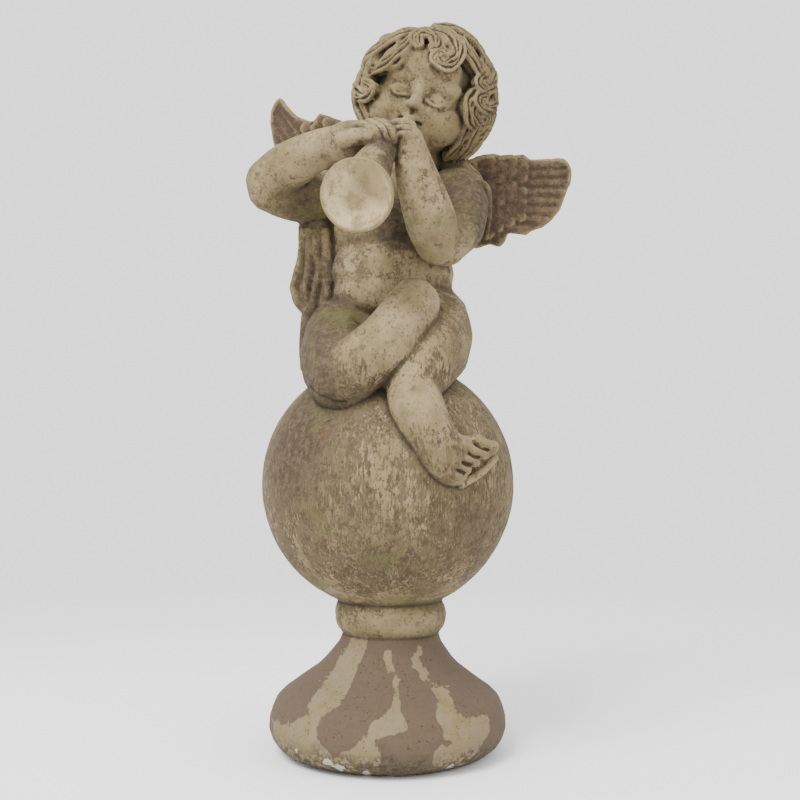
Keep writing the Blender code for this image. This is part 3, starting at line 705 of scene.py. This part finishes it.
for rows in (LONG_FEATHERS[:8], LONG_FEATHERS[10:15]):
    for first, second in zip(rows, rows[1:]):
        for lift in (-WING_THICK * 0.5, WING_THICK * 0.5):
            stops = []
            for a, b in zip(first[:2], second[:2]):
                stops.append(((a[0] + b[0]) / 2, (a[1] + b[1]) / 2, (a[2] + b[2]) / 2 + lift))
            GROOVES.append((line(*stops), 1.8, 0.5))
for path in between(row_paths(TOES)):
    GROOVES.append((path, 1.4, 2.0))


def closer(path):
    """The same path with a point at least every view unit."""
    spots = [path[0]]
    for first, second in zip(path, path[1:]):
        count = max(1, math.ceil((second - first).length / UNIT))
        spots += [first.lerp(second, (i + 1) / count) for i in range(count)]
    return spots


def finder_of(spots):
    """Finds the nearest of these spots."""
    finder = kdtree.KDTree(len(spots))
    for i, spot in enumerate(spots):
        finder.insert(spot, i)
    finder.balance()
    return finder


def carve(places, normals, grooves):
    """Sink the surface along the grooves."""
    grooves = [(closer(path), half, depth) for path, half, depth in grooves]
    finder = finder_of([spot for path, _, _ in grooves for spot in path])
    facts = [(half * UNIT, depth * UNIT) for path, half, depth in grooves for _ in path]
    sunk = places.copy()
    reach = 9 * UNIT
    near = np.zeros(len(places), bool)
    for path, _, _ in grooves:
        spots = np.array([spot[:] for spot in path])
        lowest, highest = spots.min(axis=0) - reach, spots.max(axis=0) + reach
        near |= np.all((places > lowest) & (places < highest), axis=1)
    for i in np.nonzero(near)[0]:
        _, which, distance = finder.find(places[i])
        half, depth = facts[which]
        share = distance / (half * 2)
        if share < 1:
            sunk[i] -= normals[i] * depth * (1 - share * share) ** 2
    return sunk


def smoothed(places, edges, rounds):
    """The corners after so many rounds of moving to the middle of their neighbours."""
    count = len(places)
    shares = np.bincount(edges[:, 0], minlength=count) + np.bincount(edges[:, 1], minlength=count)
    shares = np.maximum(shares, 1)[:, None]
    for _ in range(rounds):
        total = np.zeros_like(places)
        for axis in range(places.shape[1]):
            total[:, axis] = np.bincount(edges[:, 0], places[edges[:, 1], axis], count)
            total[:, axis] += np.bincount(edges[:, 1], places[edges[:, 0], axis], count)
        places = 0.4 * places + 0.6 * total / shares
    return places


def blobs(places, spots, faces_viewer=False):
    """A soft field: each spot is a column, row, depth, radius in view units and a strength."""
    field = np.zeros(len(places))
    for column, row, depth, radius, strength in spots:
        gap = places - np.array(seen(column, row, depth))
        if faces_viewer:
            gap[:, 1] = 0
        field += strength * np.exp(-np.sum(gap * gap, axis=1) / (radius * UNIT) ** 2)
    if faces_viewer:
        field *= places[:, 1] < 0
    return field


def give(thing, name, values):
    """Keep one number per corner on the mesh, for the material to read."""
    slot = thing.data.attributes.new(name, "FLOAT", "POINT")
    slot.data.foreach_set("value", np.asarray(values, dtype=np.float32))


# Chips knocked out of the foot's lower edge, where the white body shows: column, row, depth, size.
CHIPS = [
    (329, 757, -82, 5), (342, 765, -88, 5), (366, 773, -95, 6), (390, 776, -97, 3), (450, 766, -84, 5),
    (300, 741, -50, 4),
]


def sculpture():
    """The whole casting as one fine mesh."""
    masses = Clay()
    torso(masses)
    limbs(masses)
    head_masses(masses)
    body = masses.press("body_clay")
    pressed(body, MASS_GRAIN, 12)
    clay = Clay()
    for make in (face, hands_and_toes, cloth, wings, turned_base):
        make(clay)
    partings = hair(clay)
    horn(clay)
    clay.add(corners_of(body), triangles_of(body))
    bpy.data.objects.remove(body, do_unlink=True)
    figure = clay.press("putto")
    pressed(figure, FINE_GRAIN, 2)
    keep_largest(figure)
    put_corners(figure, carve(corners_of(figure), normals_of(figure), GROOVES + partings))
    edges = edges_of(figure)
    places, normals = corners_of(figure), normals_of(figure)
    hollow = np.sum((smoothed(places, edges, 5) - places) * normals, axis=1)
    deep = np.sum((smoothed(places, edges, 70) - places) * normals, axis=1)
    count = len(triangles_of(figure))
    if count > MOST_TRIANGLES:
        fewer = figure.modifiers.new("fewer", "DECIMATE")
        fewer.ratio = MOST_TRIANGLES / count
        apply_modifiers(figure)
    finder = finder_of(places)
    nearest = np.array([finder.find(spot)[1] for spot in corners_of(figure)])
    give(figure, "hollow", np.clip(hollow[nearest] / HOLLOW_FULL, -1, 1))
    # The deep field is the depth of the broad hollows plus these spots of painted shade; the material paints
    # shade where it is high.
    painted_shade = blobs(corners_of(figure), PAINTED_SHADE_SPOTS, True)
    give(figure, "deep", np.clip(deep[nearest] / DEEP_FULL, -1, 1) + painted_shade)
    return figure


def weather(figure):
    """Uneven casting, small losses, and the fields that the material reads."""
    places = corners_of(figure)
    normals = normals_of(figure)
    push = np.empty(len(places))
    for i, spot in enumerate(places):
        spot = Vector(spot)
        push[i] = 0.35 * noise.noise(spot * 45) + 0.18 * noise.noise(spot * 190)
        push[i] += 0.10 * noise.noise(spot * 420)
    push -= 0.5 * np.clip(blobs(places, [(*chip, 4) for chip in CHIPS]), 0, 4)
    lift = np.clip(places[:, 2] / (3 * UNIT), 0, 1)
    places += normals * (push * 0.001 * lift)[:, None]
    places[:, 2] = np.maximum(places[:, 2], 0)
    put_corners(figure, places)

    edges = edges_of(figure)
    x, z = places[:, 0], places[:, 2]
    right_wing = (x > seen(478, 200, 30)[0]) & (z > seen(0, 252, 0)[2]) & (z < seen(0, 150, 0)[2])
    right_wing |= (x > seen(458, 200, 40)[0]) & (places[:, 1] > 38 * UNIT) & (z > seen(0, 250, 40)[2])
    right_wing &= (places[:, 1] > 20 * UNIT) & (z < seen(0, 150, 0)[2])
    left_wing = (x < seen(345, 150, 30)[0]) & (places[:, 1] > 26 * UNIT) & (z > seen(0, 215, 0)[2])
    wing = (right_wing | left_wing).astype(float)
    give(figure, "wing", smoothed(wing[:, None], edges, 3)[:, 0])

    gap = places - np.array(HORN_BELL)
    forth = gap @ np.array(BELL_FACING)
    off = np.linalg.norm(gap - forth[:, None] * np.array(BELL_FACING), axis=1)
    give(figure, "bell", np.clip((forth / UNIT + 7) / 4, 0, 1) * (off < 36 * UNIT))
    give(figure, "rim", np.clip((off / UNIT - 22) / 9, 0, 1))
    shown = [(column, row, depth, size * 0.8, 0.9) for column, row, depth, size in CHIPS]
    give(figure, "chip", np.clip(blobs(places, shown, True), 0, 1))
    give(figure, "slip", blobs(places, SLIP, True))
    # The pale field: paler paint above zero; below zero darker, duller paint and, at many spots, painted
    # shade.
    give(figure, "pale", blobs(places, PALE_AND_SHADE))


# Spots for the paint: column, row, depth, radius and strength.
# Painted shade in the hollows under the bell and the right hand, added to the deep field.
PAINTED_SHADE_SPOTS = [
    (397, 226, -50, 4, 1.4), (401, 235, -50, 4, 1.6), (393, 237, -50, 3, 0.9), (362, 152, -90, 3, 1.2),
    (356, 154, -90, 3, 1.0),
]
# Where the foot's brown slip is worn through, below zero, or thick, above it.
SLIP = [
    (360, 641, -56, 7, -1.2), (356, 655, -70, 8, -1.2), (348, 671, -80, 9, -1.2),
    (340, 686, -88, 10, -1.2), (329, 702, -96, 11, -1.2), (317, 716, -96, 11, -1.0),
    (387, 660, -75, 5, -1.1), (389, 673, -85, 5, -1.1), (396, 688, -98, 4, -1.1),
    (397, 703, -108, 5, -1.1), (397, 718, -113, 7, -1.1), (392, 729, -115, 10, -1.3),
    (377, 731, -115, 7, -1.1), (405, 730, -115, 6, -1.1), (420, 653, -68, 3, -0.9),
    (417, 668, -80, 6, -1.0), (424, 682, -92, 5, -0.9), (434, 690, -94, 5, -0.8),
    (444, 702, -98, 6, -1.1), (446, 716, -104, 8, -1.2), (455, 730, -100, 12, -1.2),
    (470, 738, -90, 13, -1.2), (462, 750, -92, 13, -1.1), (484, 728, -78, 10, -0.9),
    (284, 738, -60, 16, -1.0), (306, 729, -84, 9, -1.0), (302, 744, -84, 14, -1.1),
    (322, 755, -94, 11, -1.1), (348, 758, -100, 12, -1.3), (362, 746, -112, 9, -1.2),
    (376, 757, -110, 8, -1.1), (438, 756, -94, 8, -1.3), (456, 756, -92, 11, -1.1),
    (332, 733, -106, 13, 1.0), (350, 738, -108, 9, 1.0), (335, 750, -100, 3, 1.2),
    (400, 749, -112, 16, 1.2), (418, 748, -108, 10, 1.1), (432, 742, -104, 4, 1.0),
    (449, 742, -98, 3, 1.1), (370, 690, -95, 16, 0.8), (415, 710, -104, 12, 0.8),
]
# Where the figure is paler, above zero, or darker and duller, below it.
# Many of the dark spots are painted shade: on the shoulder and the arms, under the head and the bell, round
# the horn and the right hand, on the bell's dish and on the sides of the ball.
PALE_AND_SHADE = [
    (395, 345, -115, 40, 0.5), (420, 415, -125, 26, 0.5), (430, 225, -105, 30, 0.8),
    (365, 260, -45, 34, 0.5), (300, 170, -70, 30, 0.7), (420, 110, -70, 44, 0.8),
    (370, 470, -120, 46, 0.1), (320, 350, -40, 30, -0.5), (455, 340, -30, 34, -0.25),
    (300, 205, -20, 30, -0.5), (468, 215, -20, 26, -0.4), (400, 200, -30, 26, -0.6),
    (300, 470, -80, 50, -0.4), (470, 520, -80, 40, -0.3), (388, 585, -90, 60, -0.35),
    (455, 150, -20, 24, -0.3), (322, 380, -90, 34, -0.7), (312, 345, -30, 30, -0.6),
    (468, 202, -34, 30, -1.2), (476, 236, -24, 24, -1.0), (316, 352, -60, 34, -0.8),
    (322, 316, -40, 26, -0.7), (312, 280, -8, 36, -0.5), (388, 620, -50, 40, 0.5),
    (300, 420, -80, 40, -0.5), (365, 152, -92, 14, -0.8), (380, 150, -118, 14, -1.1),
    (388, 166, -128, 12, -0.9), (376, 178, -160, 14, -0.9), (360, 168, -160, 12, -0.6),
    (382, 200, -160, 10, -0.6), (396, 230, -50, 20, -1.6), (372, 470, -60, 40, -0.5),
    (330, 262, -40, 26, -0.6), (330, 300, -60, 18, -0.6), (345, 322, -60, 20, -0.6),
]

# Colours are dimmed so that they look right in the bright light.
DIMMER = 0.42


def tone(red, green, blue):
    """A colour from 0 to 255, dimmed, as a linear colour for a material."""
    linear = []
    for value in (red, green, blue):
        share = value / 255
        linear.append(DIMMER * ((share + 0.055) / 1.055) ** 2.4)
    return (*linear, 1)


class Mixer:
    """Short calls for building a material's nodes."""

    def __init__(self, name):
        self.material = bpy.data.materials.new(name)
        self.material.use_nodes = True
        self.tree = self.material.node_tree
        self.shader = self.tree.nodes["Principled BSDF"]
        coordinates = self.tree.nodes.new("ShaderNodeTexCoord")
        self.place = coordinates.outputs["Object"]

    def set(self, socket, value):
        if isinstance(value, bpy.types.NodeSocket):
            self.tree.links.new(value, socket)
        else:
            socket.default_value = value

    def fill(self, node, **inputs):
        """Set inputs by name; an underscore stands for a space."""
        for name, value in inputs.items():
            self.set(node.inputs[name.replace("_", " ")], value)
        return node

    def node(self, kind, **inputs):
        return self.fill(self.tree.nodes.new(kind), **inputs)

    def field(self, name):
        node = self.node("ShaderNodeAttribute")
        node.attribute_name = name
        return node.outputs["Fac"]

    def axis(self, name):
        return self.node("ShaderNodeSeparateXYZ", Vector=self.place).outputs[name]

    def stretched(self, scale):
        return self.node("ShaderNodeMapping", Vector=self.place, Scale=scale).outputs["Vector"]

    def noise(self, scale, detail, rough, warp=0.0, place=None):
        place = place or self.place
        made = self.node(
            "ShaderNodeTexNoise", Vector=place, Scale=scale, Detail=detail, Roughness=rough, Distortion=warp
        )
        return made.outputs["Fac"]

    def math(self, kind, a, b=0.0, clamp=False):
        node = self.node("ShaderNodeMath")
        node.operation = kind
        node.use_clamp = clamp
        self.set(node.inputs[0], a)
        self.set(node.inputs[1], b)
        return node.outputs[0]

    def step(self, value, start, end):
        """A smooth rise from nought to one between start and end."""
        made = self.node("ShaderNodeMapRange", Value=value, From_Min=start, From_Max=end)
        made.interpolation_type = "SMOOTHSTEP"
        return made.outputs["Result"]

    def plus(self, a, b):
        return self.math("ADD", a, b)

    def minus(self, a, b):
        return self.math("SUBTRACT", a, b)

    def times(self, a, b):
        return self.math("MULTIPLY", a, b)

    def mix(self, share, a, b):
        node = self.node("ShaderNodeMix")
        node.data_type = "RGBA"
        self.set(node.inputs[0], share)
        self.set(node.inputs[6], a)
        self.set(node.inputs[7], b)
        return node.outputs[2]


CREAM = tone(208, 185, 140)
OLIVE = tone(162, 143, 98)
GREY_BROWN = tone(122, 104, 80)
DARK_BROWN = tone(86, 70, 52)
DULL_BROWN = tone(70, 57, 42)
MOSS = tone(122, 118, 66)
MOSS_DARK = tone(92, 88, 58)
RUST = tone(150, 104, 66)
WING_BROWN = tone(134, 110, 84)
WING_DARK = tone(90, 72, 54)
BELL_CREAM = tone(240, 222, 166)
BELL_PINK = tone(240, 208, 162)
SLIP_BROWN = tone(124, 104, 84)
SLIP_CREAM = tone(172, 153, 119)
CHIP_WHITE = tone(244, 240, 226)
# The darkest colour serves for dirt in the fine hollows, for painted shade in the deep hollows and for the
# pits.
DIRT_AND_SHADE = tone(52, 43, 31)


def cast_stone():
    """Worn paint over cast stone: cream and olive flakes over grey-brown, dirt in the fine hollows and
    painted shade in the deep ones.
    """
    m = Mixer("cast_stone")
    mix, step, field, plus, minus, times = m.mix, m.step, m.field, m.plus, m.minus, m.times
    hollow, deep, pale = field("hollow"), field("deep"), field("pale")
    up = m.axis("Z")

    cloud = m.noise(16, 5, 0.6)
    patch = m.noise(60, 8, 0.68, 0.3)
    grain = m.noise(420, 6, 0.7)
    streak = m.noise(1, 7, 0.7, 0.2, m.stretched((330, 330, 105)))
    thin_streak = m.noise(1, 6, 0.7, 0.1, m.stretched((700, 700, 200)))
    band = m.noise(1, 5, 0.6, 0.2, m.stretched((34, 34, 11)))

    on_ball = times(minus(1.0, step(up, 0.285, 0.32)), step(up, 0.122, 0.132))
    fleck = m.noise(230, 8, 0.74, 0.2)
    coarse = mix(on_ball, fleck, streak)
    fine = mix(on_ball, m.noise(520, 7, 0.7), thin_streak)
    worn = plus(times(coarse, 0.45), times(patch, 0.25))
    worn = plus(worn, times(fine, 0.30))
    worn = plus(worn, times(minus(band, 0.5), 0.30))
    # Fewer light flakes in the deep hollows, as painted shade, and where the pale field is below zero, at
    # many spots painted shade; more where it is above zero.
    worn = plus(worn, times(pale, 0.10))
    worn = minus(worn, times(deep, 0.14))
    worn = plus(minus(worn, times(on_ball, 0.016)), 0.006)
    flake = step(worn, 0.49, 0.545)

    # Light paint, worn through to grey-brown and dulled, and darkened as painted shade at many of the spots
    # where the pale field is below zero.
    light = mix(step(plus(cloud, times(pale, 0.08)), 0.38, 0.62), OLIVE, CREAM)
    light = mix(times(step(patch, 0.50, 0.64), 0.6), light, OLIVE)
    dark = mix(step(m.noise(95, 7, 0.66), 0.42, 0.60), GREY_BROWN, DARK_BROWN)
    dark = mix(times(step(thin_streak, 0.46, 0.6), 0.5), dark, OLIVE)
    dark = mix(minus(0.32, times(on_ball, 0.17)), dark, OLIVE)
    colour = mix(times(flake, 0.88), dark, light)
    dulled_and_shaded = step(plus(times(pale, -1.0), times(patch, 0.5)), 0.35, 0.85)
    colour = mix(times(dulled_and_shaded, 0.75), colour, mix(step(fleck, 0.44, 0.60), DULL_BROWN, GREY_BROWN))
    colour = mix(times(step(m.noise(700, 5, 0.75), 0.5, 0.66), 0.35), colour, GREY_BROWN)

    # Moss, rust and dark specks.
    mossy = times(step(m.noise(28, 6, 0.62), 0.54, 0.68), 0.6)
    colour = mix(mossy, colour, MOSS)
    rusty = times(step(m.noise(44, 7, 0.7, 0.4), 0.60, 0.70), 0.35)
    colour = mix(rusty, colour, RUST)
    speckled = times(step(m.noise(150, 8, 0.74, 0.3), 0.545, 0.64), 0.55)
    colour = mix(speckled, colour, DARK_BROWN)

    # Brown wings, the bell's cream, and the slip on the foot.
    wing = step(plus(field("wing"), times(patch, 0.3)), 0.5, 0.8)
    feather = mix(step(worn, 0.46, 0.62), WING_DARK, WING_BROWN)
    feather = mix(step(times(hollow, -1.0), 0.12, 0.7), feather, OLIVE)
    colour = mix(wing, colour, feather)

    rim = field("rim")
    bell = mix(step(m.noise(30, 4, 0.5), 0.42, 0.6), BELL_CREAM, BELL_PINK)
    bell = mix(times(step(m.noise(60, 8, 0.7), 0.47, 0.60), 0.7), bell, OLIVE)
    # Painted shade on the bell's dish, where the pale field is below zero.
    bell = mix(times(step(times(pale, -1.0), 0.1, 0.8), 0.7), bell, OLIVE)
    bell = mix(times(step(grain, 0.56, 0.66), 0.5), bell, GREY_BROWN)
    bell = mix(times(step(plus(rim, m.noise(180, 6, 0.7)), 1.15, 1.45), 0.8), bell, OLIVE)
    slip = plus(field("slip"), times(minus(patch, 0.5), 1.5))
    slip = plus(slip, times(minus(streak, 0.5), 0.8))
    behind = step(m.axis("Y"), -0.02, 0.02)
    loose = plus(0.4, times(behind, 5.6))
    slip = plus(slip, times(minus(m.noise(20, 3, 0.5), 0.5), loose))
    slipped = step(slip, -0.54, -0.46)
    brown = mix(step(m.noise(80, 6, 0.6), 0.4, 0.65), SLIP_BROWN, mix(0.5, SLIP_BROWN, GREY_BROWN))
    cream = mix(step(patch, 0.45, 0.65), SLIP_CREAM, OLIVE)
    painted = mix(slipped, cream, brown)
    on_foot = minus(1.0, step(plus(up, times(patch, 0.012)), 0.094, 0.100))
    edge = plus(up, times(plus(patch, m.noise(30, 4, 0.6)), 0.024))
    grime = minus(1.0, step(edge, 0.032, 0.050))
    grime = times(grime, step(m.noise(240, 7, 0.7), 0.42, 0.54))
    painted = mix(times(grime, 0.85), painted, mix(step(patch, 0.4, 0.6), DULL_BROWN, MOSS_DARK))
    colour = mix(on_foot, colour, painted)
    broken = step(plus(field("chip"), times(m.noise(150, 5, 0.6), 1.6)), 1.14, 1.24)
    broken = times(broken, step(field("chip"), 0.08, 0.2))
    colour = mix(times(broken, 0.85), colour, CHIP_WHITE)

    # Dirt in the fine hollows, painted shade in the deep hollows and at the painted shade spots, and small
    # pits.
    colour = mix(times(step(grain, 0.54, 0.70), 0.35), colour, DARK_BROWN)
    caked = times(step(plus(hollow, times(patch, 0.6)), 0.45, 1.15), 0.75)
    caked = times(caked, minus(1.0, times(wing, 0.55)))
    colour = mix(caked, colour, DIRT_AND_SHADE)
    shaded = times(step(plus(deep, times(patch, 0.5)), 0.35, 1.25), 0.6)
    colour = mix(shaded, colour, DIRT_AND_SHADE)

    pits = m.node("ShaderNodeTexVoronoi", Vector=m.place, Scale=520)
    spread = m.node("ShaderNodeSeparateColor", Color=pits.outputs["Color"])
    size = times(step(spread.outputs[0], 0.62, 1.0), 0.34)
    pit = minus(1.0, step(minus(pits.outputs["Distance"], size), -0.04, 0.06))
    pit = times(pit, step(spread.outputs[0], 0.62, 0.64))
    pit = times(pit, step(patch, 0.44, 0.52))
    colour = mix(times(pit, 0.6), colour, DIRT_AND_SHADE)
    colour = mix(field("bell"), colour, bell)

    rough = m.math("ADD", 0.74, times(grain, 0.3), True)
    m.fill(m.shader, Base_Color=colour, Roughness=rough, Specular_IOR_Level=0.28)

    relief = plus(times(grain, 0.35), times(patch, 0.5))
    relief = plus(relief, times(flake, 0.35))
    relief = plus(relief, times(times(slipped, on_foot), 0.6))
    relief = minus(relief, times(pit, 0.9))
    bump = m.node("ShaderNodeBump", Strength=0.55, Distance=0.0007, Height=relief)
    m.fill(m.shader, Normal=bump.outputs["Normal"])
    return m.material


def floor_material():
    """A plain pale floor that fades into the light round it."""
    m = Mixer("floor")
    length = m.node("ShaderNodeVectorMath", Vector=m.place)
    length.operation = "LENGTH"
    fade = m.step(length.outputs["Value"], 0.25, 1.3)
    m.fill(m.shader, Base_Color=(0.9, 0.9, 0.9, 1), Roughness=0.9, Alpha=m.minus(1.0, fade))
    return m.material


# The camera stands where the photograph's view was taken from, and looks up a little.
camera_data = bpy.data.cameras.new("camera")
camera = bpy.data.objects.new("camera", camera_data)
bpy.context.scene.collection.objects.link(camera)
camera.location = (EYE_ACROSS * UNIT, -EYE_AWAY * UNIT, EYE_UP * UNIT)
camera.rotation_euler = (math.pi / 2 + EYE_PITCH, 0, 0)
camera_data.sensor_width = SENSOR_WIDTH
camera_data.lens = SENSOR_WIDTH * EYE_AWAY / PICTURE_WIDTH
camera_data.clip_start = 0.01
bpy.context.scene.camera = camera

putto = sculpture()
weather(putto)
putto.data.shade_smooth()
putto.data.materials.clear()
putto.data.materials.append(cast_stone())
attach(putto, "root")
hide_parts("putto_figurine")
print("putto triangles", len(triangles_of(putto)))

# Floor, lights and the pale surroundings.
bpy.ops.mesh.primitive_circle_add(vertices=96, radius=14, fill_type="NGON", location=(0, 0, -0.0004))
floor = bpy.context.object
floor.name = "floor"
floor.data.materials.append(floor_material())


def softbox(name, place, aim, size, power):
    """A large soft lamp that looks at a point."""
    data = bpy.data.lights.new(name, "AREA")
    data.shape = "RECTANGLE"
    data.size, data.size_y = size
    data.energy = power
    lamp = bpy.data.objects.new(name, data)
    lamp.location = place
    lamp.rotation_euler = (Vector(aim) - Vector(place)).to_track_quat("-Z", "Y").to_euler()
    bpy.context.scene.collection.objects.link(lamp)


softbox("key", (-0.7, -1.0, 1.5), (0, 0, 0.34), (0.8, 0.8), 52)
softbox("fill", (1.3, -0.9, 0.7), (0, 0, 0.3), (1.2, 1.2), 8)
world = bpy.data.worlds.new("surroundings")
bpy.context.scene.world = world
world.use_nodes = True
world.node_tree.nodes["Background"].inputs["Color"].default_value = (1, 1, 1, 1)
world.node_tree.nodes["Background"].inputs["Strength"].default_value = 1.75
